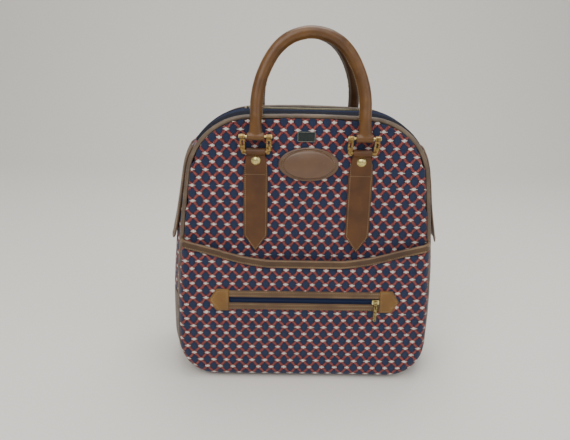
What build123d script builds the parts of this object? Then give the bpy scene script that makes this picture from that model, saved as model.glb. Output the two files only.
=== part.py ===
from build123d import *
import os
from math import atan2, cos, degrees, hypot, radians, sin

# A carpet travel bag: two stiffened D-shaped panels joined by a crowned gusset, with piped seams,
# a slip pocket and a zip pocket in front, and two rolled handles on shackle rings.
# Millimetres. X runs across the bag, the front faces -Y, and Z is up from the floor.

# Body of the bag
base_depth = 120.0
top_depth = 88.0
seam_low = 3.4
seam_high = 370.0
seam_low_half = 176.0
seam_high_half = 146.5
seam_low_radius = 52.0
seam_high_radius = 85.0
side_bow = 10.5
top_bow = 7.2
side_bulge = 16.0
corner_bulge = 4.0
corner_slack = 12.0
bulge_bow = 5.0
top_crown = 3.0
base_sag = 7.4
gusset_wall = 2.5
panel_thickness = 3.0
panel_rim = 2.4
piping_radius = 3.0
seam_gap = 0.15
bottom_gusset_top = 123.0
top_gusset_low = 340.0

# Stiffener inside the bottom
board_thickness = 3.0
board_depth = 78.0
board_half_width = 120.0
board_corner = 12.0
board_gap = 0.1

# Leather side wings
wing_low = 200.0
wing_high = 333.0
wing_thickness = 2.0
wing_gap = 0.15
wing_depth = 76.0
wing_corner = 14.0

# Main zip
tape_half_width = 16.0
tape_recess = 0.8
tape_thickness = 1.0
tape_slit = 0.6
tape_gap = 0.15
chain_half_length = 82.0
tooth_pitch = 2.8
tooth_length = 1.2
tooth_reach = 3.4
tooth_overlap = 0.9
tooth_height = 1.8
tooth_gap = 0.05
stop_length = 2.4

# Main zip slider and pull
slider_length = 13.0
slider_wall = 1.4
slider_gap = 0.4
slider_roof = 1.6
slider_margin = 1.5
bail_radius = 0.8
bail_rise = 2.6
bail_post = 1.4
pull_length = 32.0
pull_width = 7.0
pull_thickness = 1.4
pull_eye = 2.2
pull_window = 6.0
pull_droop = 10.5
pull_roundness = 0.45
eye_gap = 0.35

# Slip pocket in front
pocket_wall = 2.0
belly_height = 50.0
belly_depth = 17.0
mouth_height = 178.4
mouth_depth = 13.5
pocket_rim = 10.5
mouth_flat_half = 67.0
mouth_rise = 29.5
mouth_curve = 220.0
binding_width = 11.0
binding_outside = 0.9
binding_inside = 0.4
pocket_trim_above = 45.0

# Zip pocket on the slip pocket
pocket_zip_height = 125.0
pocket_zip_length = 210.0
pocket_zip_gap = 8.6
zip_strip_width = 10.0
zip_strip_thickness = 1.5
zip_end_length = 27.5
zip_end_point = 10.0
zip_end_height = 32.0
zip_end_thickness = 2.6
zip_end_round = 0.6
pocket_tape_recess = 0.3
pocket_tape_thickness = 1.0
coil_half_width = 1.6
coil_height = 1.4
lining_drop = 62.0
lining_rise = 20.0
lining_half_width = 128.0
lining_thickness = 0.8

# Zip pocket slider and pull
small_slider_length = 10.0
small_slider_wall = 1.4
small_slider_gap = 0.35
small_slider_roof = 1.5
small_slider_margin = 0.5
small_bail_rise = 2.2
small_bail_radius = 0.7
small_bail_post = 1.2
small_pull_length = 29.0
small_pull_width = 4.4
small_pull_thickness = 1.3
small_pull_eye = 1.9
small_pull_window = 5.0

# Handle tabs
tab_offset = 69.0
tab_length = 138.0
tab_point_length = 23.5
tab_waist_drop = 30.0
tab_half_width = 16.3
tab_neck_half = 12.3
tab_thickness = 3.0
loop_wall = 2.2
loop_height = 332.0
fold_clear = 0.6

# Studs
stud_drop = 12.0
stud_head_radius = 6.2
stud_head_rise = 2.8
stud_shank_radius = 1.8
stud_foot_radius = 4.5
stud_foot_thickness = 0.8
stud_gap = 0.05

# Shackle rings
ring_lean = 22.0
ring_length = 22.5
ring_bar_radius = 2.1
ring_bar_gap = 0.3
ring_inner_half = 13.6
ring_foot_half = 17.4
ring_outer_half = 20.3
ring_top_half = 19.0
ring_belly_height = 10.0
ring_foot_round = 1.2
ring_thickness = 2.6
ring_eye_radius = 3.3
ring_slot_length = 8.0
ring_slot_width = 2.2
ring_slot_height = 13.0
pin_radius = 1.6
pin_gap = 0.05
pin_head_radius = 2.5
pin_head_rise = 1.0
pin_head_round = 0.8

# Rolled handles
handle_lean = 11.0
handle_radius = 7.3
handle_spring = 35.0
handle_rise = 93.0
handle_crown_radius = 58.0
handle_seam_width = 1.6
handle_seam_rise = 1.3
barrel_radius = 4.9
barrel_half = 11.0
barrel_bore_gap = 0.3
flare_length = 24.0
flare_half_width = 8.8
flare_half_thickness = 4.4

# Oval patch and plate
oval_height = 315.5
oval_half_width = 39.5
oval_half_height = 22.3
oval_flange = 1.8
oval_border = 4.0
oval_pad = 4.4
oval_pad_round = 2.6
plate_height = 351.6
plate_shift = 4.0
plate_width = 23.0
plate_tall = 13.0
plate_thickness = 1.0
plate_rim = 1.1
plate_rim_rise = 0.6
plate_corner = 1.5

# Worked out from the sizes above
half_base = base_depth / 2
taper = atan2((base_depth - top_depth) / 2, seam_high)
far = 600.0
front_plane = Plane(origin=(0, -half_base, 0), x_dir=(1, 0, 0), z_dir=(0, -cos(taper), sin(taper)))
back_plane = Plane(origin=(0, half_base, 0), x_dir=(1, 0, 0), z_dir=(0, -cos(taper), -sin(taper)))
pocket_slope = atan2(belly_depth - mouth_depth, mouth_height - belly_height)
pocket_plane = Plane(
    origin=(0, belly_height, belly_depth), x_dir=(1, 0, 0), z_dir=(0, sin(pocket_slope), cos(pocket_slope))
)
loop_radius = ring_bar_radius + ring_bar_gap + loop_wall
loop_depth = panel_thickness + loop_radius
stud_height = loop_height - stud_drop
fold_low = stud_height + stud_head_radius + fold_clear
tab_point = loop_height - tab_length
tab_shoulder = tab_point + tab_point_length
tab_waist = loop_height - tab_waist_drop
slider_park = chain_half_length - slider_length / 2 - slider_margin
small_slider_park = (pocket_zip_length - small_slider_length) / 2 - small_slider_margin
top_level = seam_high + top_bow + top_crown


def to_world(height, depth):
    """Y and Z of a point at a height up the front panel and a depth out from its inner face."""
    y = -half_base + height * sin(taper) - depth * cos(taper)
    z = height * cos(taper) + depth * sin(taper)
    return y, z


def outline(low_half, high_half, low, high, low_radius, high_radius, bow, crown):
    """D-shaped face: flat bottom, bowed sides, nearly flat top and rounded corners."""
    mid_half = (low_half + high_half) / 2 + bow
    mid_height = (low + high) / 2
    bottom = Line((-low_half, low), (low_half, low))
    right = ThreePointArc((low_half, low), (mid_half, mid_height), (high_half, high))
    top = Line((high_half, high), (-high_half, high))
    if crown > 0:
        top = ThreePointArc((high_half, high), (0, high + crown), (-high_half, high))
    left = ThreePointArc((-high_half, high), (-mid_half, mid_height), (-low_half, low))
    face = make_face([bottom, right, top, left])
    face = fillet(face.vertices().group_by(Axis.Y)[0], low_radius)
    return fillet(face.vertices().group_by(Axis.Y)[-1], high_radius)


def seam_outline(grow):
    """Outline along the centre of the piping, grown outward or, when negative, inward."""
    return outline(
        seam_low_half + grow,
        seam_high_half + grow,
        seam_low - grow,
        seam_high + grow,
        seam_low_radius + grow,
        seam_high_radius + grow,
        side_bow,
        top_bow,
    )


def middle_outline(grow):
    """Outline of the gusset halfway between the panels, where it bulges most."""
    return outline(
        seam_low_half + side_bulge + grow,
        seam_high_half + corner_bulge + grow,
        seam_low - base_sag - grow,
        top_level + grow,
        seam_low_radius + side_bulge / 2 + grow,
        seam_high_radius + corner_slack + grow,
        side_bow + bulge_bow,
        0,
    )


def bag_core(grow):
    """Closed body of the bag between its panels, with its bottom pressed flat on the floor."""
    sections = [
        front_plane * seam_outline(grow),
        Plane.XZ * middle_outline(grow),
        back_plane * seam_outline(grow),
    ]
    below_floor = Pos(0, 0, -grow - far / 2) * Box(far, far, far)
    return loft(sections) - below_floor


def level_band(low, high):
    """Everything between two heights."""
    return Pos(0, 0, (low + high) / 2) * Box(far, far, high - low)


def depth_band(front, back):
    """Everything between two planes across the depth of the bag."""
    return Pos(0, (front + back) / 2, 0) * Box(far, back - front, 2 * far)


def right_half():
    return Pos(far / 2, 0, 0) * Box(far, far, 2 * far)


def on_front(shape):
    """Place a shape drawn on the front panel's own plane."""
    return front_plane * shape


def on_pocket(shape):
    """Place a shape drawn on the face of the slip pocket."""
    return front_plane * (pocket_plane * shape)


def mirror_back(shape):
    return mirror(shape, about=Plane.XZ)


def mirror_side(shape):
    return mirror(shape, about=Plane.YZ)


def front_cord(radius):
    """Round cord along the front seam."""
    path = (front_plane * seam_outline(0)).face().outer_wire()
    start = Plane(origin=path @ 0, z_dir=path % 0)
    return sweep(start * Circle(radius), path=path)


def front_seam_groove():
    return front_cord(piping_radius + seam_gap)


# Body of the bag

def panel_blank():
    """Flat stiffened panel with a softly rounded rim, standing on its seam plane."""
    slab = extrude(seam_outline(0), amount=panel_thickness)
    rim = slab.faces().sort_by(Axis.Z)[-1].outer_wire().edges()
    return fillet(rim, panel_rim)


def shank_hole():
    return Pos(0, stud_height, 0) * Cylinder(stud_shank_radius + stud_gap, far)


def front_panel(groove):
    blank = panel_blank()
    for side in (-1, 1):
        blank -= Pos(side * tab_offset, 0, 0) * shank_hole()
    return on_front(blank) - groove


def gusset_band(grooves):
    """Band of fabric round the bag between the two panels."""
    band = bag_core(0) - bag_core(-gusset_wall)
    for groove in grooves:
        band -= groove
    return band


def zip_tape():
    """Thin navy tape on the front half of the top, set a little below the strips."""
    sheet = bag_core(-tape_recess) - bag_core(-tape_recess - tape_thickness)
    sheet = sheet & level_band(top_gusset_low, far)
    return sheet & depth_band(-tape_half_width + tape_gap, -tape_slit)


def side_wing():
    """Leather wing over the right side gusset, with a rounded free lower end."""
    sheet = bag_core(wing_gap + wing_thickness) - bag_core(wing_gap)
    height = wing_high - wing_low
    shape = Pos(0, (wing_low + wing_high) / 2) * Rectangle(wing_depth, height)
    shape = fillet(shape.vertices().group_by(Axis.Y)[0], wing_corner)
    stencil = extrude(Plane.YZ * shape, amount=far)
    return sheet & stencil


def base_board():
    shape = RectangleRounded(2 * board_half_width, board_depth, board_corner)
    return Pos(0, 0, gusset_wall + board_gap) * extrude(shape, amount=board_thickness)


# Main zip

def chain_level():
    """Height of the tape's upper face along the middle of the top."""
    return top_level - tape_recess


def tooth_row():
    """Teeth on the edge of the front tape, meshing with the back row."""
    steps = int(2 * (chain_half_length - stop_length) / tooth_pitch)
    start = -(steps - 1) * tooth_pitch / 2
    width = tooth_reach + tooth_overlap
    tooth = Box(tooth_length, width, tooth_height)
    y = -tooth_reach + width / 2
    z = chain_level() + tooth_gap + tooth_height / 2
    return Compound(children=[Pos(start + n * tooth_pitch, y, z) * tooth for n in range(steps)])


def zip_stops():
    """Metal stops that end the chain at both sides."""
    z = chain_level() + tooth_gap + tooth_height / 2
    stop = Box(stop_length, 2 * tooth_reach, tooth_height)
    x = chain_half_length + tooth_pitch
    return Compound(children=[Pos(side * x, 0, z) * stop for side in (-1, 1)])


def slider_blank(length, channel_half, channel_height, wall, roof):
    """Zip slider, open below where it runs over the chain."""
    half_width = channel_half + wall
    height = channel_height + roof
    body = Pos(0, 0, height / 2) * Box(length, 2 * half_width, height)
    body = fillet(body.edges().filter_by(Axis.Z), wall)
    return body - Pos(0, 0, channel_height / 2) * Box(2 * length, 2 * channel_half, channel_height)


def bail_blank(span, rise, bar, post):
    """Bar along the zip, held over the slider by two posts, for the eye of the pull."""
    bail = Pos(0, 0, rise) * (Rot(0, 90, 0) * Cylinder(bar, span))
    for side in (-1, 1):
        bail += Pos(side * (span - post) / 2, 0, rise / 2) * Box(post, 2 * bar, rise)
    return bail


def pull_blank(length, width, thickness, eye, bar, eye_width, window):
    """Flat pull lying along -Y from the bar along X that its eye hangs on."""
    tongue = Pos(0, -length / 2) * RectangleRounded(width, length, pull_roundness * width)
    tongue -= Pos(0, -eye - window) * Rectangle(width / 2, window)
    tongue -= Pos(0, width / 2 - length) * Circle(width / 4)
    plate = Pos(0, 0, -thickness / 2) * extrude(tongue, amount=thickness)
    plate -= Box(far, 2 * eye, far)
    barrel = Rot(0, 90, 0) * Cylinder(eye, eye_width)
    neck = Pos(0, -eye, 0) * Box(eye_width, eye, thickness)
    hole = Rot(0, 90, 0) * Cylinder(bar + eye_gap, far)
    return plate + neck + barrel - hole


channel_half = tooth_reach + slider_gap
channel_height = tooth_height + slider_gap
bail_span = slider_length - 2 * slider_wall
slider_base = top_level - tape_recess + tooth_gap + slider_gap / 2
slider_back = slider_base + channel_height + slider_roof


def zip_slider():
    body = slider_blank(slider_length, channel_half, channel_height, slider_wall, slider_roof)
    bail = bail_blank(bail_span, bail_rise, bail_radius, bail_post)
    return Pos(-slider_park, 0, slider_base) * body + Pos(-slider_park, 0, slider_back) * bail


def zip_pull():
    """Pull resting on the back half of the top, hinged on the bar of the slider."""
    eye_width = bail_span - 2 * bail_post - 2 * eye_gap
    body = pull_blank(
        pull_length, pull_width, pull_thickness, pull_eye, bail_radius, eye_width, pull_window
    )
    rest = Rot(-pull_droop, 0, 0) * Rot(0, 0, 180)
    return Pos(-slider_park, 0, slider_back + bail_rise) * (rest * body)


# Slip pocket

def pocket_form(inset):
    """Pocket bulging from the panel as a solid, inset from its outer face."""
    lower = Rectangle(2 * far, 2 * (mouth_height + pocket_trim_above))
    region = seam_outline(-inset) & lower
    block = extrude(region, amount=2 * belly_depth)
    block = split(block, bisect_by=pocket_plane.offset(-inset), keep=Keep.BOTTOM)
    face = block.faces().sort_by(Axis.Z)[-1]
    rim = face.edges().sort_by(Axis.Y)[:-1]
    return fillet(rim, pocket_rim - inset)


def below_mouth(shift):
    """Everything below the line of the pocket's mouth, moved up by a shift."""
    low = mouth_height + shift
    high = low + mouth_rise
    edge = seam_low_half
    top = FilletPolyline(
        (-edge, high), (-mouth_flat_half, low), (mouth_flat_half, low), (edge, high), radius=mouth_curve
    )
    sides = Polyline((edge, high), (edge, -far), (-edge, -far), (-edge, high))
    return extrude(make_face([top, sides]), amount=far)


def above_panel():
    return Pos(0, 0, panel_thickness + far / 2) * Box(2 * far, 2 * far, far)


def zip_window():
    """Slot through the wall of the pocket for the small zip."""
    slot = Box(pocket_zip_length, pocket_zip_gap, 2 * pocket_wall)
    return pocket_plane * (zip_centre() * (Pos(0, 0, -pocket_wall / 2) * slot))


def pocket_panel(groove):
    shell = pocket_form(0) - pocket_form(pocket_wall)
    shell = shell & above_panel()
    shell = shell & below_mouth(-binding_width / 2)
    return on_front(shell - zip_window()) - groove


def pocket_binding(groove):
    """Leather folded over the pocket's top edge."""
    shell = pocket_form(-binding_outside) - pocket_form(pocket_wall + binding_inside)
    shell = shell & above_panel()
    shell = shell & (below_mouth(binding_width / 2) - below_mouth(-binding_width / 2))
    return on_front(shell) - groove


# Zip pocket

def zip_centre():
    """Place of the small zip's centre on the pocket's own plane."""
    return Pos(0, (pocket_zip_height - belly_height) / cos(pocket_slope), 0)


def zip_strip(side):
    """Leather strip along one edge of the small zip, between the end tabs."""
    y = side * (pocket_zip_gap + zip_strip_width) / 2
    strip = Box(pocket_zip_length, zip_strip_width, zip_strip_thickness)
    return on_pocket(zip_centre() * (Pos(0, y, zip_strip_thickness / 2) * strip))


def zip_end_outline():
    """Pointed tab over the right end of the small zip."""
    inner = pocket_zip_length / 2
    shoulder = inner + zip_end_length - zip_end_point
    half = zip_end_height / 2
    point = inner + zip_end_length
    points = [(inner, -half), (shoulder, -half), (point, 0), (shoulder, half), (inner, half)]
    return make_face(Polyline(points, close=True))


def zip_end(side):
    cover = extrude(zip_end_outline(), amount=zip_end_thickness)
    cover = fillet(cover.faces().sort_by(Axis.Z)[-1].edges(), zip_end_round)
    if side < 0:
        cover = mirror_side(cover)
    return on_pocket(zip_centre() * cover)


def small_zip():
    """Navy tape with its closed coil, filling the window in the pocket."""
    gap = pocket_tape_recess / 2
    width = pocket_zip_gap - 2 * gap
    length = pocket_zip_length - 2 * gap
    tape = Box(length, width, pocket_tape_thickness)
    tape = Pos(0, 0, -pocket_tape_recess - pocket_tape_thickness / 2) * tape
    coil = extrude(Rectangle(length, 2 * coil_half_width), amount=coil_height)
    coil = Pos(0, 0, -pocket_tape_recess) * coil
    crest = coil.faces().sort_by(Axis.Z)[-1].edges().filter_by(Axis.X)
    coil = fillet(crest, coil_half_width / 2)
    return on_pocket(zip_centre() * (tape + coil))


def zip_lining():
    """Back wall of the zip pocket, lying on the inner face of the slip pocket."""
    width = 2 * lining_half_width
    height = lining_drop + lining_rise
    sheet = extrude(RectangleRounded(width, height, lining_rise / 2), amount=lining_thickness)
    y = (lining_rise - lining_drop) / 2
    z = -pocket_wall - wing_gap - lining_thickness
    return on_pocket(zip_centre() * (Pos(0, y, z) * sheet))


small_channel_half = coil_half_width + small_slider_gap
small_channel_height = coil_height + small_slider_gap - pocket_tape_recess
small_bail_span = small_slider_length - 2 * small_slider_wall
small_slider_back = small_channel_height + small_slider_roof


def small_slider_place():
    return zip_centre() * Pos(small_slider_park, 0, pocket_tape_recess / 4)


def small_slider():
    body = slider_blank(
        small_slider_length, small_channel_half, small_channel_height, small_slider_wall, small_slider_roof
    )
    bail = bail_blank(small_bail_span, small_bail_rise, small_bail_radius, small_bail_post)
    body += Pos(0, 0, small_slider_back) * bail
    return on_pocket(small_slider_place() * body)


def small_pull():
    """Pull hanging straight down from the bar on the small slider."""
    eye_width = small_bail_span - 2 * small_bail_post - 2 * eye_gap
    body = pull_blank(
        small_pull_length,
        small_pull_width,
        small_pull_thickness,
        small_pull_eye,
        small_bail_radius,
        eye_width,
        small_pull_window,
    )
    plumb = Rot(degrees(taper + pocket_slope), 0, 0)
    hang = Pos(0, 0, small_slider_back + small_bail_rise) * plumb
    return on_pocket(small_slider_place() * (hang * body))


# Handle tabs and studs

def tab_strap():
    """Pointed leather strap lying on the panel, narrower where it folds over the ring."""
    points = [
        (0, tab_point),
        (tab_half_width, tab_shoulder),
        (tab_half_width, tab_waist),
        (tab_neck_half, fold_low),
        (tab_neck_half, loop_height),
        (-tab_neck_half, loop_height),
        (-tab_neck_half, fold_low),
        (-tab_half_width, tab_waist),
        (-tab_half_width, tab_shoulder),
    ]
    strap = extrude(make_face(Polyline(points, close=True)), amount=tab_thickness)
    return Pos(0, 0, panel_thickness) * strap


def tab_loop():
    """Fold of the strap round the bar of the ring, seen from its side and drawn out to its width."""
    profile = Pos(loop_depth, loop_height) * Circle(loop_radius)
    base = Pos(panel_thickness + tab_thickness / 2, fold_low) * Rectangle(tab_thickness, fold_clear / 2)
    hull = make_hull(profile.edges() + base.edges())
    side_view = Plane(origin=(-tab_neck_half, 0, 0), x_dir=(0, 0, 1), z_dir=(-1, 0, 0))
    fold = extrude(side_view * hull, amount=-2 * tab_neck_half)
    bore = Pos(0, loop_height, loop_depth) * (Rot(0, 90, 0) * Cylinder(ring_bar_radius + ring_bar_gap, far))
    return fold, bore


def handle_tab(side):
    fold, bore = tab_loop()
    return on_front(Pos(side * tab_offset, 0, 0) * (tab_strap() + fold - bore - shank_hole()))


def stud(side):
    """Domed rivet through the tab and the panel, closed by a flat foot inside."""
    head_level = panel_thickness + tab_thickness
    dome_radius = (stud_head_radius**2 + stud_head_rise**2) / (2 * stud_head_rise)
    dome = Pos(0, 0, stud_head_rise - dome_radius) * Sphere(dome_radius)
    dome = dome & Pos(0, 0, far / 2) * Box(far, far, far)
    shank = Pos(0, 0, -head_level / 2) * Cylinder(stud_shank_radius, head_level)
    foot = Pos(0, 0, -head_level - stud_foot_thickness / 2) * Cylinder(stud_foot_radius, stud_foot_thickness)
    return on_front(Pos(side * tab_offset, stud_height, head_level) * (dome + shank + foot))


# Shackle rings, pins and handles

loop_y, loop_z = to_world(loop_height, loop_depth)
pin_y = loop_y - ring_length * sin(radians(ring_lean))
pin_z = loop_z + ring_length * cos(radians(ring_lean))


def ring_plane(side):
    lean = radians(ring_lean)
    origin = (side * tab_offset, loop_y, loop_z)
    return Plane(origin=origin, x_dir=(1, 0, 0), z_dir=(0, -cos(lean), -sin(lean)))


def ring_arm():
    """Right arm of a ring: a flat bar bowed outward, slotted above and ending in an eye."""
    foot = -ring_eye_radius
    inner = Line((ring_inner_half, ring_length), (ring_inner_half, foot))
    bottom = Line((ring_inner_half, foot), (ring_foot_half, foot))
    belly = (ring_outer_half, ring_belly_height)
    outer = ThreePointArc((ring_foot_half, foot), belly, (ring_top_half, ring_length))
    top = Line((ring_top_half, ring_length), (ring_inner_half, ring_length))
    blank = make_face([inner, bottom, outer, top])
    blank = fillet(blank.vertices().group_by(Axis.Y)[0], ring_foot_round)
    slot_x = (ring_inner_half + ring_outer_half) / 2
    blank -= Pos(slot_x, ring_slot_height) * (Rot(0, 0, 90) * SlotOverall(ring_slot_length, ring_slot_width))
    bar = Pos(0, 0, -ring_thickness / 2) * extrude(blank, amount=ring_thickness)
    eye_length = ring_outer_half - ring_inner_half
    eye = Pos(ring_inner_half + eye_length / 2, ring_length, 0) * (
        Rot(0, 90, 0) * Cylinder(ring_eye_radius, eye_length)
    )
    return bar + eye


def ring_blank():
    arm = ring_arm()
    bar = Rot(0, 90, 0) * Cylinder(ring_bar_radius, ring_inner_half + ring_foot_half)
    bore = Pos(0, ring_length, 0) * (Rot(0, 90, 0) * Cylinder(pin_radius + pin_gap, far))
    return arm + mirror_side(arm) + bar - bore


def ring(side):
    return ring_plane(side) * ring_blank()


def pin(side):
    """Pin through the ring's eyes and the handle's barrel, with domed ends."""
    half = ring_outer_half + pin_gap
    rod = Rot(0, 90, 0) * Cylinder(pin_radius, 2 * half)
    head = Pos(half + pin_head_rise / 2, 0, 0) * (Rot(0, 90, 0) * Cylinder(pin_head_radius, pin_head_rise))
    rim = head.faces().sort_by(Axis.X)[-1].edges()
    head = fillet(rim, pin_head_round)
    return ring_plane(side) * (Pos(0, ring_length, 0) * (rod + head + mirror_side(head)))


def handle_path():
    """Centreline of the roll: two straight legs under a three-centred arch."""
    half = tab_offset
    centre_height = handle_rise - handle_crown_radius
    side_radius = (half**2 + centre_height**2 - handle_crown_radius**2) / (2 * (half - handle_crown_radius))
    reach = hypot(side_radius - half, centre_height)
    meet_x = side_radius - half - side_radius * (side_radius - half) / reach
    meet_y = handle_spring + side_radius * centre_height / reach
    left_leg = Line((-half, flare_length), (-half, handle_spring))
    left = TangentArc((-half, handle_spring), (meet_x, meet_y), tangent=(0, 1))
    crown = TangentArc(left @ 1, (-meet_x, meet_y), tangent=left % 1)
    right = TangentArc(crown @ 1, (half, handle_spring), tangent=crown % 1)
    right_leg = Line((half, handle_spring), (half, flare_length))
    return Wire([left_leg.edge(), left.edge(), crown.edge(), right.edge(), right_leg.edge()])


def handle_foot(side):
    """Leg flattening and spreading into the barrel that turns on the pin."""
    x = side * tab_offset
    round_end = Plane(origin=(x, flare_length, 0), x_dir=(1, 0, 0), z_dir=(0, -1, 0)) * Circle(handle_radius)
    flat_end = Plane(origin=(x, 0, 0), x_dir=(1, 0, 0), z_dir=(0, -1, 0)) * Ellipse(
        flare_half_width, flare_half_thickness
    )
    barrel = Pos(x, 0, 0) * (Rot(0, 90, 0) * Cylinder(barrel_radius, 2 * barrel_half))
    return loft([round_end, flat_end]) + barrel


def front_handle():
    path = handle_path()
    start = Plane(origin=path @ 0, x_dir=(1, 0, 0), z_dir=(0, 1, 0))
    seam = Pos(handle_radius, 0) * Rectangle(2 * handle_seam_rise, handle_seam_width)
    body = sweep(start * (Circle(handle_radius) + seam), path=path)
    for side in (-1, 1):
        body += handle_foot(side)
    body -= Rot(0, 90, 0) * Cylinder(pin_radius + barrel_bore_gap, far)
    lean = radians(handle_lean)
    place = Plane(origin=(0, pin_y, pin_z), x_dir=(1, 0, 0), z_dir=(0, -cos(lean), sin(lean)))
    return place * body


# Patch and plate

def oval_patch():
    """Oval leather patch with a padded middle inside a flat stitched border."""
    flange = extrude(Ellipse(oval_half_width, oval_half_height), amount=oval_flange)
    pad_shape = Ellipse(oval_half_width - oval_border, oval_half_height - oval_border)
    pad = extrude(pad_shape, amount=oval_pad)
    pad = fillet(pad.faces().sort_by(Axis.Z)[-1].edges(), oval_pad_round)
    return on_front(Pos(0, oval_height, panel_thickness) * (flange + pad))


def badge_plate():
    """Small bare metal plate with a raised rim."""
    outer = RectangleRounded(plate_width, plate_tall, plate_corner)
    inner = offset(outer, amount=-plate_rim)
    plate = extrude(outer, amount=plate_thickness)
    rim = extrude(outer - inner, amount=plate_thickness + plate_rim_rise)
    return on_front(Pos(-plate_shift, plate_height, panel_thickness) * (plate + rim))


def body_pieces():
    """Panels, piping, gussets, wings and the board of the bag's body."""
    front_groove = front_seam_groove()
    back_groove = mirror_back(front_groove)
    grooves = [front_groove, back_groove]
    piping = front_cord(piping_radius)
    panel = front_panel(front_groove)
    band = gusset_band(grooves)
    top = band & level_band(top_gusset_low, far)
    sides = band & level_band(bottom_gusset_top, top_gusset_low)
    strip = top & depth_band(-far / 2, -tape_half_width)
    tape = zip_tape()
    right_side = sides & right_half()
    wing = side_wing()
    return {
        "front_panel": panel,
        "back_panel": mirror_back(panel),
        "front_piping": piping,
        "back_piping": mirror_back(piping),
        "top_strip_front": strip,
        "top_strip_back": mirror_back(strip),
        "zip_tape_front": tape,
        "zip_tape_back": mirror_back(tape),
        "side_fabric_right": right_side,
        "side_fabric_left": mirror_side(right_side),
        "side_wing_right": wing,
        "side_wing_left": mirror_side(wing),
        "bottom_gusset": band & level_band(-far, bottom_gusset_top),
        "base_board": base_board(),
        "pocket_panel": pocket_panel(front_groove),
        "pocket_binding": pocket_binding(front_groove),
    }


def zip_pieces():
    teeth = tooth_row()
    return {
        "zip_teeth_front": teeth,
        "zip_teeth_back": Pos(tooth_pitch / 2, 0, 0) * mirror_back(teeth),
        "zip_stops": zip_stops(),
        "zip_slider": zip_slider(),
        "zip_pull": zip_pull(),
        "pocket_zip_strip_upper": zip_strip(1),
        "pocket_zip_strip_lower": zip_strip(-1),
        "pocket_zip_end_right": zip_end(1),
        "pocket_zip_end_left": zip_end(-1),
        "pocket_zip_tape": small_zip(),
        "pocket_zip_lining": zip_lining(),
        "pocket_slider": small_slider(),
        "pocket_pull": small_pull(),
        "oval_patch": oval_patch(),
        "badge_plate": badge_plate(),
    }


def carrying_pieces():
    """Tabs, studs, rings, pins and handles, front and back."""
    pieces = {"front_handle": front_handle()}
    for name, side in (("left", -1), ("right", 1)):
        pieces["front_tab_" + name] = handle_tab(side)
        pieces["front_stud_" + name] = stud(side)
        pieces["front_ring_" + name] = ring(side)
        pieces["front_pin_" + name] = pin(side)
    for name in list(pieces):
        pieces[name.replace("front", "back")] = mirror_back(pieces[name])
    return pieces


os.makedirs("parts", exist_ok=True)
all_pieces = {**body_pieces(), **zip_pieces(), **carrying_pieces()}
for name, shape in all_pieces.items():
    export_step(shape, "parts/" + name + ".step")
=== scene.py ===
from math import cos, floor, hypot, pi, radians, sin

import bmesh
import bpy
from mathutils import Matrix, Vector, noise
from mathutils.bvhtree import BVHTree


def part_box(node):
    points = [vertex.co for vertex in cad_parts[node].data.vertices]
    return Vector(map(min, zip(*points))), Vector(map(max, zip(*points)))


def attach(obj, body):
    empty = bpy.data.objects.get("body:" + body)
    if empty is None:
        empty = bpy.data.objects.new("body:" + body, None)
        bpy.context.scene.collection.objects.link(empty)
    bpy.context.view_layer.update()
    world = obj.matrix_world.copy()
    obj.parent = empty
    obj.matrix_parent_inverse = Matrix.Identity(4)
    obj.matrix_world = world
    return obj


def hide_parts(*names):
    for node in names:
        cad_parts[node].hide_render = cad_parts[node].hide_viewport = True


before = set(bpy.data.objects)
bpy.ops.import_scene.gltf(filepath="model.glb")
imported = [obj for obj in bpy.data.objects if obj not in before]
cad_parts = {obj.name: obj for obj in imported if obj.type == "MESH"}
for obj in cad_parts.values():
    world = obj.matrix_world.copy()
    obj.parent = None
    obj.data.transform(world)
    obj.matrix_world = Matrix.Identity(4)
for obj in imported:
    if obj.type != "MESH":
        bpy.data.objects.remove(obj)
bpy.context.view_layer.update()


# Tapestry panels. The front and back of the real bag are foam boards covered with a jacquard cloth
# woven as a lattice: navy ovals between red twill diagonals, with a cream star where two cross.
# The covered board is pulled into the piped seam all round, so its rim is round and slightly puckered.

repeat_across = 0.0184
repeat_up = 0.0214
thread = 0.00086
line_half = 0.105
star_half_across = 0.56
star_half_up = 0.24
star_roundness = 0.72
oval_half_across = 0.45
oval_half_up = 0.54
yarn_unevenness = 0.34
fading = 0.3
weave_depth = 0.00025
oval_relief = 0.0003
panel_skin = 0.0026
panel_pucker = 0.0005
pucker_length = 0.011
puckered_rim = 0.03
panel_sag = 0.000324
sag_length = 0.09
navy = (32, 43, 70)
ground_dark = (44, 28, 42)
twill_orange = (166, 84, 72)
twill_dark = (74, 32, 44)
star_cream = (204, 197, 188)


def tone(colour):
    """Linear colour from the 0 to 255 values of a swatch."""
    scaled = [part / 255 for part in colour]
    return [part / 12.92 if part < 0.04 else ((part + 0.055) / 1.055) ** 2.4 for part in scaled] + [1.0]


def new_finish(name):
    """A new material with its node tree and its shader."""
    material = bpy.data.materials.new(name)
    material.use_nodes = True
    tree = material.node_tree
    return material, tree, tree.nodes["Principled BSDF"]


def put(tree, kind, inputs=(), **settings):
    """A shader node with its settings, each input being a value or another node's output."""
    made = tree.nodes.new("ShaderNode" + kind)
    for key, value in settings.items():
        setattr(made, key, value)
    for place, value in dict(inputs).items():
        if isinstance(value, bpy.types.NodeSocket):
            tree.links.new(value, made.inputs[place])
        else:
            made.inputs[place].default_value = value
    return made


def calc(tree, operation, *values, clamp=False):
    """The result of one sum in a node tree."""
    inputs = dict(enumerate(values))
    return put(tree, "Math", inputs, operation=operation, use_clamp=clamp).outputs[0]


def blend_colour(tree, share, first, second):
    mix = put(tree, "Mix", {0: share, 6: first, 7: second}, data_type="RGBA")
    return mix.outputs[2]


def object_place(tree):
    return put(tree, "TexCoord").outputs["Object"]


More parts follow.
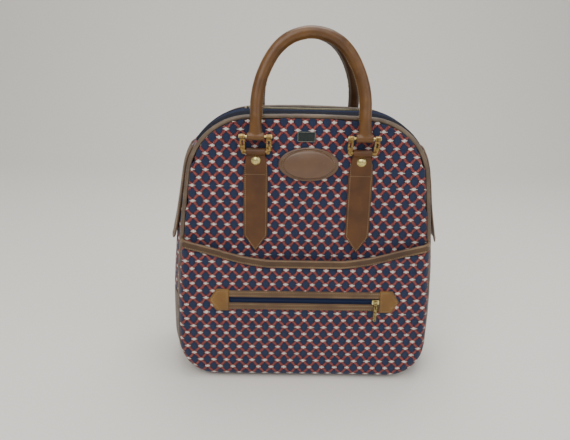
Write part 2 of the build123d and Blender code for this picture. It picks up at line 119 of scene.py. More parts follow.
def soft_noise(tree, scale, detail=3.0, place=None):
    vector = place or object_place(tree)
    return put(tree, "TexNoise", {"Vector": vector, "Scale": scale, "Detail": detail}).outputs["Fac"]


def add_relief(tree, shader, height, depth):
    """Fine relief of this depth in metres, too small for the mesh."""
    bump = put(tree, "Bump", {"Height": height, "Distance": depth, "Strength": 1.0})
    tree.links.new(bump.outputs[0], shader.inputs["Normal"])


def tapestry(name, across, shift_across, shift_up):
    """Woven lattice, counted in whole threads so that its edges step like the weave."""
    material, tree, shader = new_finish(name)
    parts = put(tree, "SeparateXYZ", {0: object_place(tree)})
    along = calc(tree, "ADD", parts.outputs[across], 1.0 + shift_across)
    up = calc(tree, "ADD", parts.outputs["Z"], 1.0 + shift_up)
    column = calc(tree, "FLOOR", calc(tree, "DIVIDE", along, thread))
    row = calc(tree, "FLOOR", calc(tree, "DIVIDE", up, thread))
    u = calc(tree, "MULTIPLY", column, thread / repeat_across)
    v = calc(tree, "MULTIPLY", row, thread / repeat_up)
    rising = calc(tree, "ADD", u, v)
    falling = calc(tree, "SUBTRACT", u, v)
    near_rising = calc(tree, "PINGPONG", rising, 0.5)
    near_falling = calc(tree, "PINGPONG", falling, 0.5)
    near_line = calc(tree, "MINIMUM", near_rising, near_falling)
    red = calc(tree, "LESS_THAN", near_line, line_half)
    off_rising = calc(tree, "SUBTRACT", rising, calc(tree, "ROUND", rising))
    off_falling = calc(tree, "SUBTRACT", falling, calc(tree, "ROUND", falling))
    star_across = calc(tree, "ABSOLUTE", calc(tree, "ADD", off_rising, off_falling))
    star_up = calc(tree, "ABSOLUTE", calc(tree, "SUBTRACT", off_rising, off_falling))
    star_reach = calc(
        tree, "ADD",
        calc(tree, "POWER", calc(tree, "DIVIDE", star_across, star_half_across), star_roundness),
        calc(tree, "POWER", calc(tree, "DIVIDE", star_up, star_half_up), star_roundness),
    )
    star = calc(tree, "LESS_THAN", star_reach, 1.0)
    in_rising = calc(tree, "SUBTRACT", calc(tree, "FRACT", rising), 0.5)
    in_falling = calc(tree, "SUBTRACT", calc(tree, "FRACT", falling), 0.5)
    oval_across = calc(tree, "DIVIDE", calc(tree, "ADD", in_rising, in_falling), oval_half_across)
    oval_up = calc(tree, "DIVIDE", calc(tree, "SUBTRACT", in_rising, in_falling), oval_half_up)
    oval_reach = calc(
        tree, "ADD",
        calc(tree, "MULTIPLY", oval_across, oval_across),
        calc(tree, "MULTIPLY", oval_up, oval_up),
    )
    oval = calc(tree, "LESS_THAN", oval_reach, 1.0)
    on_rising = calc(tree, "LESS_THAN", near_rising, near_falling)
    passed = put(tree, "Mix", {0: on_rising, 2: column, 3: row}, data_type="FLOAT").outputs[0]
    step = calc(tree, "FLOORED_MODULO", passed, 2.0)
    dark_step = calc(tree, "LESS_THAN", step, 1.0)
    line_colour = blend_colour(tree, dark_step, tone(twill_orange), tone(twill_dark))
    colour = blend_colour(tree, oval, tone(ground_dark), tone(navy))
    colour = blend_colour(tree, red, colour, line_colour)
    colour = blend_colour(tree, star, colour, tone(star_cream))
    count = put(tree, "CombineXYZ", {0: column, 1: row}).outputs[0]
    yarn = put(tree, "TexWhiteNoise", {"Vector": count}, noise_dimensions="2D").outputs["Value"]
    yarn_light = calc(tree, "MULTIPLY_ADD", yarn, yarn_unevenness, 1 - yarn_unevenness / 2)
    wear = calc(tree, "MULTIPLY_ADD", soft_noise(tree, 14.0), fading, 1 - fading / 2)
    light = calc(tree, "MULTIPLY", yarn_light, wear)
    shaded = put(tree, "VectorMath", {0: colour, "Scale": light}, operation="SCALE").outputs[0]
    tree.links.new(shaded, shader.inputs["Base Color"])
    across_wave = calc(tree, "ABSOLUTE", calc(tree, "SINE", calc(tree, "MULTIPLY", along, pi / thread)))
    up_wave = calc(tree, "ABSOLUTE", calc(tree, "SINE", calc(tree, "MULTIPLY", up, pi / thread)))
    woven = calc(tree, "MULTIPLY", across_wave, up_wave)
    add_relief(tree, shader, woven, weave_depth)
    shader.inputs["Roughness"].default_value = 0.86
    shader.inputs["Sheen Weight"].default_value = 0.12
    shader.inputs["Specular IOR Level"].default_value = 0.25
    return material


def cell_puff(along, up):
    """How far a point of the cloth stands up inside its oval, from 0 on the diagonals to 1."""
    u = along / repeat_across
    v = up / repeat_up
    return abs(sin(pi * (u + v)) * sin(pi * (u - v)))


def soft_copy(name, nodes, cell):
    """One even skin of small faces over the solids of these nodes, ready to be shaped."""
    shell = bmesh.new()
    for node in nodes:
        shell.from_mesh(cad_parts[node].data)
    bmesh.ops.remove_doubles(shell, verts=shell.verts, dist=1e-6)
    mesh = bpy.data.meshes.new(name)
    shell.to_mesh(mesh)
    shell.free()
    piece = bpy.data.objects.new(name, mesh)
    bpy.context.collection.objects.link(piece)
    skin = piece.modifiers.new("skin", "REMESH")
    skin.mode = "VOXEL"
    skin.voxel_size = cell
    graph = bpy.context.evaluated_depsgraph_get()
    made = bpy.data.meshes.new_from_object(piece.evaluated_get(graph))
    piece.modifiers.clear()
    piece.data = made
    made.materials.clear()
    for face in made.polygons:
        face.use_smooth = True
    return piece


def shape_skin(piece, move):
    """Moves each point of a piece by what move(place, normal) gives."""
    mesh = piece.data
    shifts = [move(vertex.co, vertex.normal) for vertex in mesh.vertices]
    for vertex, shift in zip(mesh.vertices, shifts):
        vertex.co += shift
    mesh.update()


def dress(piece, material, slot, body, *nodes):
    """Gives a piece its finish and its body, and lets it stand for CAD nodes."""
    piece.data.materials.clear()
    piece.data.materials.append(material)
    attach(piece, body)
    if nodes:
        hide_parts(*nodes)
    return piece


seam_points = [vertex.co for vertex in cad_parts["front_piping"].data.vertices]
seam_high = max(point.z for point in seam_points)
seam_half = max(point.x for point in seam_points)


def panel_move(place, normal):
    """Lifts the ovals, puckers the rim towards the seam and lets the board sag a little."""
    puff = cell_puff(place.x, place.z) * oval_relief
    side = min(seam_half - abs(place.x), place.z, seam_high - place.z)
    edge = max(0.0, 1 - side / puckered_rim)
    ripple = noise.noise(Vector((place.x, 3.0, place.z)) / pucker_length) * panel_pucker * edge
    sag = noise.noise(Vector((place.x, 7.0, place.z)) / sag_length) * panel_sag
    return normal * (puff - oval_relief + ripple) + Vector((0, abs(normal.y) * sag, 0))


panel_tapestry = tapestry("tapestry_panel", "X", 0.0, 0.0)
for face_name in ("front", "back"):
    panel_piece = soft_copy(face_name + "_tapestry_panel", [face_name + "_panel"], panel_skin)
    shape_skin(panel_piece, panel_move)
    dress(panel_piece, panel_tapestry, "tapestry", "bag", face_name + "_panel")


# Side gussets. The same cloth runs round both sides between the panels, backed with stiff board,
# and bulges outward. Its lattice is cut across the roll, so it runs along the depth of the bag.

side_skin = 0.0019
side_shift_across = 0.004
side_shift_up = 0.006
side_slack = 0.0006
side_slack_length = 0.05
side_tapestry = tapestry("tapestry_side", "Y", side_shift_across, side_shift_up)


def side_move(place, normal):
    puff = cell_puff(place.y + side_shift_across, place.z + side_shift_up) * oval_relief
    slack = noise.noise(place / side_slack_length) * side_slack
    return normal * (puff - oval_relief + slack * abs(normal.x))


for side_name in ("left", "right"):
    side_piece = soft_copy("side_tapestry_" + side_name, ["side_fabric_" + side_name], side_skin)
    shape_skin(side_piece, side_move)
    dress(side_piece, side_tapestry, "tapestry", "bag", "side_fabric_" + side_name)


# Slip pocket. A second layer of the cloth, gathered over a thin foam, bulges from the front panel
# and is caught in the same piped seam at the sides and the bottom. It sags a little between them.

pocket_skin = 0.0019
pocket_shift_across = 0.002
pocket_shift_up = 0.0072
pocket_slack = 0.0011
slack_across = 0.09
slack_up = 0.06
held_by_zip_half = 0.14
held_by_zip_high = 0.02
pocket_tapestry = tapestry("tapestry_pocket", "X", pocket_shift_across, pocket_shift_up)
pocket_piece = soft_copy("pocket_tapestry", ["pocket_panel"], pocket_skin)
zip_low, zip_high = (Vector(corner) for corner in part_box("pocket_zip_tape"))
zip_height = (zip_low.z + zip_high.z) / 2


def pocket_move(place, normal):
    """Lifts the ovals and lets the cloth hang slack, but not where the zip holds it flat."""
    puff = cell_puff(place.x + pocket_shift_across, place.z + pocket_shift_up) * oval_relief
    held = abs(place.z - zip_height) < held_by_zip_high and abs(place.x) < held_by_zip_half
    slack = noise.noise(Vector((place.x / slack_across, 5.0, place.z / slack_up))) * pocket_slack
    return normal * (puff - oval_relief) + Vector((0, 0 if held else abs(normal.y) * slack, 0))


shape_skin(pocket_piece, pocket_move)
dress(pocket_piece, pocket_tapestry, "tapestry", "bag", "pocket_panel")


# Piping. A cotton cord wrapped in taupe vinyl is sewn into both seams, and shines along its crest.
# The wrap crinkles a little where the seam turns round the corners.

taupe = (108, 92, 74)
taupe_dark = (72, 58, 48)
taupe_worn = (142, 126, 110)
piping_skin = 0.0013
crinkle_length = 0.004
crinkle = 0.00018


def hide(name, colour, worn, dark, grain, depth, rough):
    """Leather or vinyl with mottled colour, pores and a soft sheen."""
    material, tree, shader = new_finish(name)
    mottle = soft_noise(tree, 38.0, 5.0)
    lightness = calc(tree, "MULTIPLY_ADD", mottle, 2.4, -0.75, clamp=True)
    body = blend_colour(tree, lightness, tone(dark), tone(colour))
    rub = calc(tree, "MULTIPLY_ADD", soft_noise(tree, 140.0, 6.0), 4.0, -2.35, clamp=True)
    body = blend_colour(tree, calc(tree, "MULTIPLY", rub, 0.45), body, tone(worn))
    tree.links.new(body, shader.inputs["Base Color"])
    cells = put(tree, "TexVoronoi", {"Vector": object_place(tree), "Scale": grain}, feature="SMOOTH_F1")
    fine = soft_noise(tree, grain * 2.3, 2.0)
    pores = calc(tree, "ADD", cells.outputs["Distance"], calc(tree, "MULTIPLY", fine, 0.6))
    add_relief(tree, shader, pores, depth)
    spread = calc(tree, "MULTIPLY_ADD", soft_noise(tree, 60.0), 0.24, rough - 0.12)
    tree.links.new(spread, shader.inputs["Roughness"])
    shader.inputs["Specular IOR Level"].default_value = 0.35
    shader.inputs["Coat Weight"].default_value = 0.15
    shader.inputs["Coat Roughness"].default_value = 0.3
    return material


def uneven(length, depth):
    """A move that makes a skin uneven by up to this depth, over waves of about this length."""
    return lambda place, normal: normal * noise.noise(place / length) * depth


piping_vinyl = hide("piping_vinyl", taupe, taupe_worn, taupe_dark, 1500.0, 0.00006, 0.34)
for face_name in ("front", "back"):
    cord_piece = soft_copy(face_name + "_piping_cover", [face_name + "_piping"], piping_skin)
    shape_skin(cord_piece, uneven(crinkle_length, crinkle))
    dress(cord_piece, piping_vinyl, "piping_vinyl", "bag", face_name + "_piping")


# Top of the bag. Dark navy strips of cloth lie beside the zip, and run down both corners under
# the wings. The zip tapes between them are a finer navy herringbone, and the teeth are brass.

strip_navy = (11, 14, 29)
tape_navy = (24, 33, 60)
herringbone_width = 0.002
strip_skin = 0.0012
strip_wave = 0.0003
strip_wave_length = 0.03


def ribbed_cloth(name, colour, pitch, depth, slant):
    """Fine navy cloth with slanting ribs."""
    material, tree, shader = new_finish(name)
    parts = put(tree, "SeparateXYZ", {0: object_place(tree)})
    fold = calc(tree, "PINGPONG", calc(tree, "ADD", parts.outputs["Y"], 1.0), herringbone_width)
    path = calc(tree, "MULTIPLY_ADD", fold, slant, parts.outputs["X"])
    rib = calc(tree, "ABSOLUTE", calc(tree, "SINE", calc(tree, "MULTIPLY", path, pi / pitch)))
    shade = calc(tree, "MULTIPLY_ADD", rib, 0.45, 0.62)
    fuzz = calc(tree, "MULTIPLY_ADD", soft_noise(tree, 900.0), 0.5, 0.75)
    light = calc(tree, "MULTIPLY", shade, fuzz)
    base = put(tree, "RGB")
    base.outputs[0].default_value = tone(colour)
    tinted = put(tree, "VectorMath", {0: base.outputs[0], "Scale": light}, operation="SCALE").outputs[0]
    tree.links.new(tinted, shader.inputs["Base Color"])
    add_relief(tree, shader, rib, depth)
    shader.inputs["Roughness"].default_value = 0.85
    shader.inputs["Specular IOR Level"].default_value = 0.2
    return material


def paint(material, *nodes):
    """Gives CAD nodes whose shape is right their finish."""
    for node in nodes:
        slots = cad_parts[node].data.materials
        slots.clear()
        slots.append(material)


strip_cloth = ribbed_cloth("strip_cloth", strip_navy, 0.0011, 0.0001, 0.6)
tape_cloth = ribbed_cloth("tape_cloth", tape_navy, 0.0009, 0.00012, 1.0)
for face_name in ("front", "back"):
    strip_piece = soft_copy("strip_" + face_name, ["top_strip_" + face_name], strip_skin)
    shape_skin(strip_piece, uneven(strip_wave_length, strip_wave))
    dress(strip_piece, strip_cloth, "dark_cloth", "bag", "top_strip_" + face_name)
paint(tape_cloth, "zip_tape_front", "zip_tape_back", "pocket_zip_tape")


# Metal. Teeth, sliders, pulls, studs, rings and pins are brass, polished where hands rub it and
# browned elsewhere. The lower half of each ring has turned orange, and the teeth look pale.


def metal(name, colour, tarnish, rough, share):
    """Brass with browned spots, which are rougher than the polished parts."""
    material, tree, shader = new_finish(name)
    stain = calc(tree, "MULTIPLY_ADD", soft_noise(tree, 420.0, 5.0), 3.0, share - 1.9, clamp=True)
    tree.links.new(blend_colour(tree, stain, tone(colour), tone(tarnish)), shader.inputs["Base Color"])
    spread = calc(tree, "MULTIPLY_ADD", stain, 0.25, rough)
    tree.links.new(spread, shader.inputs["Roughness"])
    add_relief(tree, shader, soft_noise(tree, 2400.0, 2.0), 0.00002)
    shader.inputs["Metallic"].default_value = 1.0
    return material


tooth_brass = metal("tooth_brass", (214, 204, 168), (150, 130, 80), 0.3, 0.6)
stud_brass = metal("stud_brass", (206, 192, 128), (140, 116, 60), 0.24, 0.5)
ring_brass = metal("ring_brass", (158, 134, 84), (84, 48, 24), 0.26, 0.75)
pull_brass = metal("pull_brass", (222, 208, 150), (150, 126, 70), 0.26, 0.5)
paint(tooth_brass, "zip_teeth_front", "zip_teeth_back", "zip_stops")
small_pull_brass = metal("small_pull_brass", (172, 156, 108), (96, 80, 44), 0.34, 0.9)
paint(pull_brass, "zip_slider", "zip_pull", "pocket_slider")
paint(small_pull_brass, "pocket_pull")
for face_name in ("front", "back"):
    for side_name in ("left", "right"):
        paint(stud_brass, f"{face_name}_stud_{side_name}", f"{face_name}_pin_{side_name}")
        paint(ring_brass, f"{face_name}_ring_{side_name}")


# Leather trim on the body. Straps, wings, the mouth binding and the zip frame are smooth brown
# leather, cut from one hide and sewn on with brown thread a little in from the edges.

strap_leather = hide("strap_leather", (88, 52, 14), (106, 68, 28), (68, 38, 10), 900.0, 0.00009, 0.44)
wing_leather = hide("wing_leather", (82, 51, 18), (104, 70, 32), (62, 38, 14), 800.0, 0.0001, 0.46)
binding_leather = hide("binding_leather", (80, 56, 32), (112, 84, 54), (60, 40, 24), 900.0, 0.00008, 0.42)
tan_leather = hide("tan_leather", (124, 88, 36), (154, 114, 60), (98, 68, 28), 900.0, 0.00008, 0.42)
thread_finish = hide(
    "thread_finish", (188, 162, 122), (196, 172, 134), (140, 112, 76), 3000.0, 0.00003, 0.7
)
# Painted shade: dark beads sunk in each needle hole stand for the shade inside the hole.
hole_shade = hide("hole_shade", (34, 22, 14), (50, 34, 22), (20, 14, 10), 3000.0, 0.00003, 0.8)
sew_inset = 0.0024
sew_pitch = 0.0027
thread_radius = 0.00045
thread_share = 0.54
thread_lift = 0.1
hole_radius = 0.00070
hole_share = 0.42
hole_lift = -0.6


def needle_places(corners, pitch):
    """Even steps along a line of corner points, each with the direction of the line there."""
    places = []
    carry = pitch / 2
    for start, end in zip(corners, corners[1:]):
        run = end - start
        while carry < run.length:
            places.append((start + run * (carry / run.length), run.normalized()))
            carry += pitch
        carry -= run.length
    return places


def bead_mesh(name, beads, radius, rise):
    """One mesh of short round beads, each with a place, a direction, an outward normal and a length."""
    sides = 5
    stations = ((-0.5, 0.3, -0.7), (-0.25, 0.95, 0.1), (0.25, 0.95, 0.1), (0.5, 0.3, -0.7))
    verts = []
    faces = []
    for place, direction, outward, length in beads:
        side = direction.cross(outward).normalized()
        first = len(verts)
        for share, girth, lift in stations:
            centre = place + direction * (share * length) + outward * ((rise + lift) * radius)
            for turn in range(sides):
                angle = 2 * pi * turn / sides
                verts.append(centre + (side * cos(angle) + outward * sin(angle)) * radius * girth)
        last = first + (len(stations) - 1) * sides
        for ring in range(first, last, sides):
            for turn in range(sides):
                beside = (turn + 1) % sides
                faces.append((ring + turn, ring + beside, ring + beside + sides, ring + turn + sides))
        faces.append(tuple(first + turn for turn in reversed(range(sides))))
        faces.append(tuple(last + turn for turn in range(sides)))
    mesh = bpy.data.meshes.new(name)
    mesh.from_pydata(verts, [], faces)
    for face in mesh.polygons:
        face.use_smooth = True
    piece = bpy.data.objects.new(name, mesh)
    bpy.context.collection.objects.link(piece)
    return piece


def sew(name, piece, rows, look, slot, body="bag", back_off=0.2):
    """Sews rows of stitches, with dark beads of painted shade in their needle holes, where lines seen
    along a look meet a piece.
    """
    skin = BVHTree.FromPolygons(
        [vertex.co for vertex in piece.data.vertices], [face.vertices for face in piece.data.polygons]
    )
    threads = []
    holes = []
    for row in rows:
        for place, direction in needle_places(row, sew_pitch):
            hit, outward, _, _ = skin.ray_cast(place - look * back_off, look)
            if hit is None:
                continue
            along = (direction - outward * direction.dot(outward)).normalized()
            threads.append((hit, along, outward, sew_pitch * thread_share))
            holes.append((hit + along * sew_pitch / 2, along, outward, sew_pitch * hole_share))
    dress(bead_mesh(name + "_thread", threads, thread_radius, thread_lift), thread_finish, slot, body)
    dress(bead_mesh(name + "_holes", holes, hole_radius, hole_lift), hole_shade, slot, body)


straight_in = Vector((0, 1, 0))
strap_skin = 0.0010
strap_sewn_top = 0.318
fold_sewn_height = 0.3015
strap_shoulder_rise = 0.0235
for face_name, look in (("front", straight_in), ("back", -straight_in)):
    for side_name in ("left", "right"):
        node = f"{face_name}_tab_{side_name}"
        tab = soft_copy(f"{face_name}_strap_{side_name}", [node], strap_skin)
        shape_skin(tab, uneven(0.02, 0.00025))
        dress(tab, strap_leather, "brown_leather", "bag", node)
        low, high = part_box(node)
        middle = (low.x + high.x) / 2
        inner = (high.x - low.x) / 2 - sew_inset
        point = low.z + sew_inset * 1.3
        shoulder = low.z + strap_shoulder_rise
        around = [(inner, strap_sewn_top), (inner, shoulder), (0, point)]
        around += [(-inner, shoulder), (-inner, strap_sewn_top)]
        across = [(-inner, fold_sewn_height), (inner, fold_sewn_height)]
        rows = [[Vector((middle + x, 0, z)) for x, z in line] for line in (around, across)]
        sew(f"{face_name}_strap_{side_name}", tab, rows, look, "brown_leather")

wing_skin = 0.0013
wing_free_height = 0.262
wing_free_length = 0.062
wing_curl = 0.004
wing_hem = 0.004
wing_corner = 0.012


def wing_move(place, normal):
    """Curls the free lower end of a wing away from the bag."""
    free = max(0.0, (wing_free_height - place.z) / wing_free_length)
    out = 1 if place.x > 0 else -1
    return Vector((out * wing_curl * free**1.6, 0, 0)) + normal * noise.noise(place / 0.03) * 0.0004


for side_name, out in (("left", -1), ("right", 1)):
    wing = soft_copy("wing_" + side_name, ["side_wing_" + side_name], wing_skin)
    shape_skin(wing, wing_move)
    dress(wing, wing_leather, "brown_leather", "bag", "side_wing_" + side_name)
    low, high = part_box("side_wing_" + side_name)
    far = high.y - wing_hem
    near = low.y + wing_hem
    under = low.z + wing_hem
    hem = [(near, high.z), (near, under + wing_corner), (near + wing_corner, under)]
    hem += [(far - wing_corner, under), (far, under + wing_corner), (far, high.z)]
    rows = [[Vector((0, y, z)) for y, z in hem]]
    sew("wing_" + side_name, wing, rows, Vector((-out, 0, 0)), "brown_leather")

binding_skin = 0.0010
binding_half = 0.0055
binding_sewn_half = 0.168
edge_roll = 0.0004
mouth_step = 0.004
binding = soft_copy("mouth_binding", ["pocket_binding"], binding_skin)
mouth = {}
for vertex in binding.data.vertices:
    if vertex.normal.y < -0.8:
        mouth.setdefault(round(vertex.co.x / mouth_step), []).append(vertex.co.z)
mouth_line = {step: (min(heights) + max(heights)) / 2 for step, heights in mouth.items()}


def mouth_middle(x):
    """Height of the middle of the binding at a place along it."""
    first = max(min(mouth_line), min(max(mouth_line) - 1, floor(x / mouth_step)))
    share = x / mouth_step - first
    return mouth_line.get(first, 0) * (1 - share) + mouth_line.get(first + 1, 0) * share


def binding_move(place, normal):
    """Rolls both edges of the binding a little."""
    off = abs(place.z - mouth_middle(place.x)) / binding_half
    roll = max(0.0, off - 0.55) / 0.45
    return normal * (edge_roll * sin(pi * min(1.0, roll)) + noise.noise(place / 0.02) * 0.0002)


shape_skin(binding, binding_move)
dress(binding, binding_leather, "brown_leather", "bag", "pocket_binding")
# Painted highlight: the rolled top and bottom edges of the binding get a lighter leather for the light
# they catch.
binding_edge_highlight = hide("binding_edge_highlight", (118, 94, 68), (144, 120, 92), (90, 68, 48), 900.0, 0.00008, 0.4)
binding.data.materials.append(binding_edge_highlight)
for face in binding.data.polygons:
    off = abs(face.center.z - mouth_middle(face.center.x)) / binding_half
    face.material_index = int(off > 0.66)
binding_row = [
    Vector((step * mouth_step, 0, mouth_line[step] - binding_half * 0.55))
    for step in sorted(mouth_line) if abs(step * mouth_step) < binding_sewn_half
]
sew("mouth_binding", binding, [binding_row], straight_in, "brown_leather")

frame_leather = hide("frame_leather", (98, 74, 48), (126, 100, 72), (76, 54, 34), 900.0, 0.00008, 0.42)
frame_skin = 0.0007
for strip_name in ("upper", "lower"):
    node = "pocket_zip_strip_" + strip_name
    frame_strip = soft_copy("zip_frame_" + strip_name, [node], frame_skin)
    shape_skin(frame_strip, uneven(0.015, 0.00015))
    dress(frame_strip, frame_leather, "brown_leather", "bag", node)
    low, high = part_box(node)
    heights = [low.z + (high.z - low.z) * share for share in (0.24, 0.76)]
    rows = [[Vector((low.x, 0, z)), Vector((high.x, 0, z))] for z in heights]
    sew("zip_frame_" + strip_name, frame_strip, rows, straight_in, "brown_leather")

end_point = 0.010
for side_name, out in (("left", -1), ("right", 1)):
    node = "pocket_zip_end_" + side_name
    end_tab = soft_copy("zip_end_" + side_name, [node], frame_skin)
    shape_skin(end_tab, uneven(0.015, 0.00015))
    dress(end_tab, tan_leather, "tan_leather", "bag", node)
    low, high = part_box(node)
    tip = max(low.x * out, high.x * out) - sew_inset * 1.4
    root = min(low.x * out, high.x * out) + sew_inset
    shoulder = tip - end_point
    half = (high.z - low.z) / 2 - sew_inset
    around = [(root, -half), (shoulder, -half), (tip, 0), (shoulder, half), (root, half), (root, -half)]
    middle = (low.z + high.z) / 2
    row = [Vector((x * out, 0, middle + z)) for x, z in around]
    sew("zip_end_" + side_name, end_tab, [row], straight_in, "tan_leather")


# Oval patch and badge plate. The patch is a padded oval of the same leather inside a rolled border,
# sewn down through needle holes darkened with painted shade. The small plate above it is dark enamel with
# a bright metal rim.

patch_leather = hide("patch_leather", (96, 66, 38), (112, 82, 52), (82, 54, 30), 1000.0, 0.00005, 0.42)
patch_shader = patch_leather.node_tree.nodes["Principled BSDF"]
patch_shader.inputs["Coat Weight"].default_value = 0.8
patch_shader.inputs["Coat Roughness"].default_value = 0.4
patch_skin = 0.0008
patch = soft_copy("oval_pad", ["oval_patch"], patch_skin)
patch_low, patch_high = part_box("oval_patch")
patch_middle = (patch_low + patch_high) / 2
patch_half = (patch_high - patch_low) / 2
groove_share = 0.86
groove_depth = 0.0011
groove_width = 0.05
pad_rise = 0.0038


def oval_share(place):
    """How far out a point lies, from 0 at the middle of the oval to 1 at its rim."""
    return hypot((place.x - patch_middle.x) / patch_half.x, (place.z - patch_middle.z) / patch_half.z)


def patch_move(place, normal):
    """Pads the middle of the front face, and sinks the sewn groove round it."""
    groove = max(0.0, 1 - abs(oval_share(place) - groove_share) / groove_width)
    swell = pad_rise * max(0.0, 1 - oval_share(place) ** 2)
    on_front = normal.y < -0.3
    return normal * (noise.noise(place / 0.02) * 0.0002 + (swell - groove_depth * groove) * on_front)


shape_skin(patch, patch_move)
dress(patch, patch_leather, "brown_leather", "bag", "oval_patch")
turns = 96
oval_row = [
    patch_middle + Vector((
        patch_half.x * groove_share * cos(2 * pi * turn / turns), 0,
        patch_half.z * groove_share * sin(2 * pi * turn / turns),
    ))
    for turn in range(turns + 1)
]
sew("oval_pad", patch, [oval_row], straight_in, "brown_leather")

badge_low, badge_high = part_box("badge_plate")
badge_middle = (badge_low + badge_high) / 2
badge_rim = 0.0008
badge_finish, badge_tree, badge_shader = new_finish("badge_finish")
badge_place = put(
    badge_tree, "VectorMath", {0: object_place(badge_tree), 1: badge_middle}, operation="SUBTRACT"
)
badge_parts = put(badge_tree, "SeparateXYZ", {0: badge_place.outputs[0]})
badge_x = calc(badge_tree, "ABSOLUTE", badge_parts.outputs["X"])
badge_z = calc(badge_tree, "ABSOLUTE", badge_parts.outputs["Z"])
past_x = calc(badge_tree, "GREATER_THAN", badge_x, (badge_high.x - badge_low.x) / 2 - badge_rim)
past_z = calc(badge_tree, "GREATER_THAN", badge_z, (badge_high.z - badge_low.z) / 2 - badge_rim)
on_rim = calc(badge_tree, "MAXIMUM", past_x, past_z)
enamel = blend_colour(badge_tree, soft_noise(badge_tree, 300.0), tone((14, 22, 20)), tone((34, 44, 40)))
plate_colour = blend_colour(badge_tree, on_rim, enamel, tone((150, 152, 142)))
badge_tree.links.new(plate_colour, badge_shader.inputs["Base Color"])
badge_tree.links.new(on_rim, badge_shader.inputs["Metallic"])
badge_shader.inputs["Roughness"].default_value = 0.22
paint(badge_finish, "badge_plate")


# Handles. Each is a leather tube rolled over cord, sewn along its inner side, and flattened at
# both ends into a barrel for the pin. The leather is glossy along the top from use.

handle_leather = hide("handle_leather", (105, 70, 30), (132, 96, 54), (76, 48, 20), 700.0, 0.00003, 0.34)
back_handle_leather = hide(
    "back_handle_leather", (70, 44, 20), (100, 76, 50), (48, 30, 16), 700.0, 0.00004, 0.38
)
handle_skin = 0.0012
inner_seam_low = (0.0579, 0.372)
inner_seam_high = (0.0437, 0.446)
for face_name, handle_finish, slot_name, toward in (
    ("front", handle_leather, "brown_leather", -1),
    ("back", back_handle_leather, "dark_leather", 1),
):
    roll = soft_copy(face_name + "_rolled_handle", [face_name + "_handle"], handle_skin)
    shape_skin(roll, uneven(0.012, 0.00022))
    dress(roll, handle_finish, slot_name, face_name + "_handle_body", face_name + "_handle")
    foot, head = (Vector((0, toward * y, z)) for y, z in (inner_seam_low, inner_seam_high))
    for leg_name, out in (("left", -1), ("right", 1)):
        sew(
            f"{face_name}_handle_{leg_name}", roll, [[foot, head]], Vector((out, 0, 0)), slot_name,
            face_name + "_handle_body", 0.0,
        )


# Bottom and inside. The bottom is grained brown vinyl, with a stiff board lying inside it, and
# the zip pocket is closed behind by a plain brown lining.

bottom_vinyl = hide("bottom_vinyl", (84, 62, 48), (116, 92, 74), (62, 46, 36), 600.0, 0.00014, 0.5)
bottom_skin = 0.0021
bottom_wave = 0.0003
bottom_wave_length = 0.03
flat_height = 0.004
bottom = soft_copy("bottom_cover", ["bottom_gusset"], bottom_skin)


def bottom_move(place, normal):
    """Makes the vinyl uneven, but leaves the face that it stands on flat."""
    return normal * noise.noise(place / bottom_wave_length) * bottom_wave * (place.z > flat_height)


shape_skin(bottom, bottom_move)
dress(bottom, bottom_vinyl, "brown_vinyl", "bag", "bottom_gusset")
board_finish = hide("board_finish", (116, 96, 72), (140, 120, 96), (96, 78, 58), 500.0, 0.00005, 0.8)
lining_cloth = ribbed_cloth("lining_cloth", (74, 60, 48), 0.0009, 0.00008, 0.0)
paint(board_finish, "base_board")
paint(lining_cloth, "pocket_zip_lining")


# Studio. The bag stands on a plain pale floor under soft light, seen from above its front.

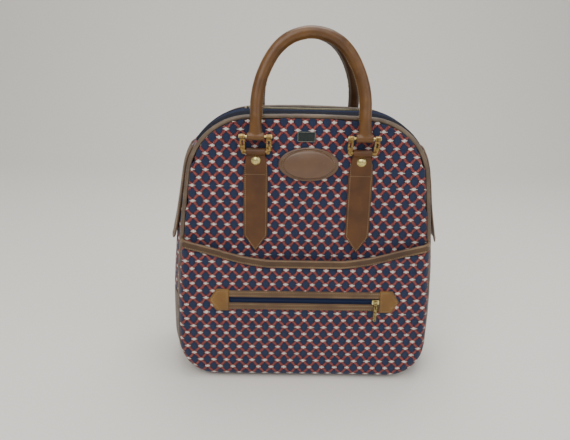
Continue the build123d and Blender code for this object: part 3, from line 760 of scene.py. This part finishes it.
floor_near = -3.0
floor_half = 4.0
wall_high = 3.0
sweep_start = 1.1
sweep_radius = 0.9
sweep_steps = 24
floor_mesh = bpy.data.meshes.new("floor")
profile = [(floor_near, 0.0)]
for step in range(sweep_steps + 1):
    angle = pi / 2 * step / sweep_steps
    profile.append((sweep_start + sweep_radius * sin(angle), sweep_radius * (1 - cos(angle))))
profile.append((sweep_start + sweep_radius, wall_high))
floor_points = [(x, y, z) for y, z in profile for x in (-floor_half, floor_half)]
floor_faces = [(2 * i, 2 * i + 1, 2 * i + 3, 2 * i + 2) for i in range(len(profile) - 1)]
floor_mesh.from_pydata(floor_points, [], floor_faces)
for face in floor_mesh.polygons:
    face.use_smooth = True
floor = bpy.data.objects.new("floor", floor_mesh)
bpy.context.collection.objects.link(floor)
floor_finish, _, floor_shader = new_finish("floor_finish")
floor_shader.inputs["Base Color"].default_value = tone((226, 222, 214))
floor_shader.inputs["Roughness"].default_value = 0.8
floor_mesh.materials.append(floor_finish)

world = bpy.data.worlds.new("studio")
world.use_nodes = True
world.node_tree.nodes["Background"].inputs[0].default_value = tone((236, 238, 242))
world.node_tree.nodes["Background"].inputs[1].default_value = 0.55
bpy.context.scene.world = world


def soft_light(name, place, size, power, colour):
    """A square lamp that faces the middle of the bag."""
    lamp = bpy.data.lights.new(name, "AREA")
    lamp.size = size
    lamp.energy = power
    lamp.color = colour
    holder = bpy.data.objects.new(name, lamp)
    holder.location = place
    holder.rotation_euler = (Vector((0, 0, 0.2)) - Vector(place)).to_track_quat("-Z", "Y").to_euler()
    bpy.context.collection.objects.link(holder)


soft_light("window_light", (-0.5, -1.5, 1.8), 2.0, 38.0, (1.0, 0.98, 0.95))
soft_light("fill_light", (1.6, -1.2, 1.1), 1.8, 12.0, (0.94, 0.97, 1.0))
soft_light("top_light", (0.1, 0.3, 1.9), 1.2, 22.0, (1.0, 1.0, 1.0))

photo_width = 570
focal_pixels = 514
camera_place = Vector((-0.040, -0.7054, 0.4765))
camera_pitch = radians(20.02)
camera_turn = radians(0.95)
camera_roll = radians(1.36)
lens = bpy.data.cameras.new("camera")
lens.sensor_width = 36.0
lens.lens = lens.sensor_width * focal_pixels / photo_width
lens.clip_start = 0.01
camera = bpy.data.objects.new("camera", lens)
forward = Vector((sin(camera_turn), cos(camera_turn), 0))
ahead = forward * cos(camera_pitch) - Vector((0, 0, sin(camera_pitch)))
level = Vector((cos(camera_turn), -sin(camera_turn), 0))
upright = level.cross(ahead)
right = level * cos(camera_roll) + upright * sin(camera_roll)
top = upright * cos(camera_roll) - level * sin(camera_roll)
camera.matrix_world = Matrix.Translation(camera_place) @ Matrix((right, top, -ahead)).transposed().to_4x4()
bpy.context.collection.objects.link(camera)
bpy.context.scene.camera = camera
